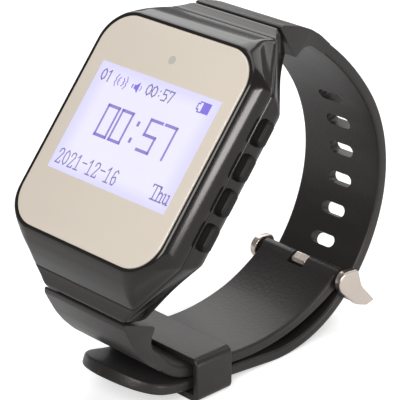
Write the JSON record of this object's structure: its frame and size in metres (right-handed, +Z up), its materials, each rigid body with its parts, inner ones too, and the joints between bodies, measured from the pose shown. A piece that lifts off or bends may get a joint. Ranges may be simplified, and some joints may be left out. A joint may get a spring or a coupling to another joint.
{
  "type": "pager watch",
  "caption": "Wrist-worn call receiver: boxy gloss case with mirror-like lens, display and side buttons, on a rubber strap buckled into a loop with sliding keeper and swinging buckle.",
  "frame": {"origin": "middle of the bounding box at floor level", "axes": "+X from the 9 o'clock side to the button side, -Y the way the lens faces, +Z up"},
  "size_m": [0.0428, 0.0704, 0.0666],
  "materials": {
    "gloss_black": "moulded, polished",
    "mirror_lens": "mirror tinted from behind",
    "seal_rubber": "soft",
    "adhesive": "die-cut film",
    "display_glass": "liquid crystal panel",
    "light_guide": "white moulded",
    "flex_film": "printed film",
    "board_green": "glass-fibre board, solder mask",
    "tin": "tinned sheet",
    "copper": "enamelled wire",
    "cell_wrap": "cell in a foil pouch",
    "steel": "turned",
    "black_plastic": "moulded",
    "ivory_plastic": "moulded",
    "strap_rubber": "matte, fine grain",
    "satin_metal": "satin"
  },
  "bodies": {
    "watch": {"front_housing": "gloss_black", "rear_cover": "gloss_black", "housing_gasket": "seal_rubber", "lens": "mirror_lens", "lens_adhesive": "adhesive", "display_panel": "display_glass", "backlight": "light_guide", "display_frame": "light_guide", "display_flex": "flex_film", "status_light": "light_guide", "main_board": "board_green", "radio_shield": "tin", "antenna_coil": "copper", "charging_socket": "tin", "battery": "cell_wrap", "battery_pad": "seal_rubber", "vibration_motor": "steel", "buzzer": "black_plastic", "side_switches": "black_plastic", "case_screws": "steel", "spring_bar_top": "steel", "spring_bar_bottom": "steel", "long_strap": "strap_rubber", "short_strap": "strap_rubber", "buckle_pin": "satin_metal"},
    "button_1_body": {"button_1": "strap_rubber", "switch_stem_1": "ivory_plastic"},
    "button_2_body": {"button_2": "strap_rubber", "switch_stem_2": "ivory_plastic"},
    "button_3_body": {"button_3": "strap_rubber", "switch_stem_3": "ivory_plastic"},
    "button_4_body": {"button_4": "strap_rubber", "switch_stem_4": "ivory_plastic"},
    "keeper": {"strap_keeper": "strap_rubber"},
    "buckle": {"buckle_frame": "satin_metal"},
    "tongue": {"buckle_tongue": "satin_metal"}
  },
  "joints": [
    {"name": "button_1_press", "type": "slide", "parent": "watch", "child": "button_1_body", "axis": [-1, 0, 0], "range_m": [0, 0.0004], "stiffness_N_per_m": 1500, "springref_m": -0.0003},
    {"name": "button_2_press", "type": "slide", "parent": "watch", "child": "button_2_body", "axis": [-1, 0, 0], "range_m": [0, 0.0004], "stiffness_N_per_m": 1500, "springref_m": -0.0003},
    {"name": "button_3_press", "type": "slide", "parent": "watch", "child": "button_3_body", "axis": [-1, 0, 0], "range_m": [0, 0.0004], "stiffness_N_per_m": 1500, "springref_m": -0.0003},
    {"name": "button_4_press", "type": "slide", "parent": "watch", "child": "button_4_body", "axis": [-1, 0, 0], "range_m": [0, 0.0004], "stiffness_N_per_m": 1500, "springref_m": -0.0003},
    {"name": "keeper_slide", "type": "slide", "parent": "watch", "child": "keeper", "axis": [0, 0.9952, -0.0974], "range_m": [-0.001, 0.0015]},
    {"name": "buckle_swing", "type": "hinge", "parent": "watch", "child": "buckle", "pos_m": [-0.00075, 0.02259, 0.0116], "axis": [1, 0, 0], "range_deg": [-12, 0]},
    {"name": "tongue_swing", "type": "hinge", "parent": "watch", "child": "tongue", "pos_m": [-0.00075, 0.02259, 0.0116], "axis": [1, 0, 0], "range_deg": [0, 4]}
  ]
}
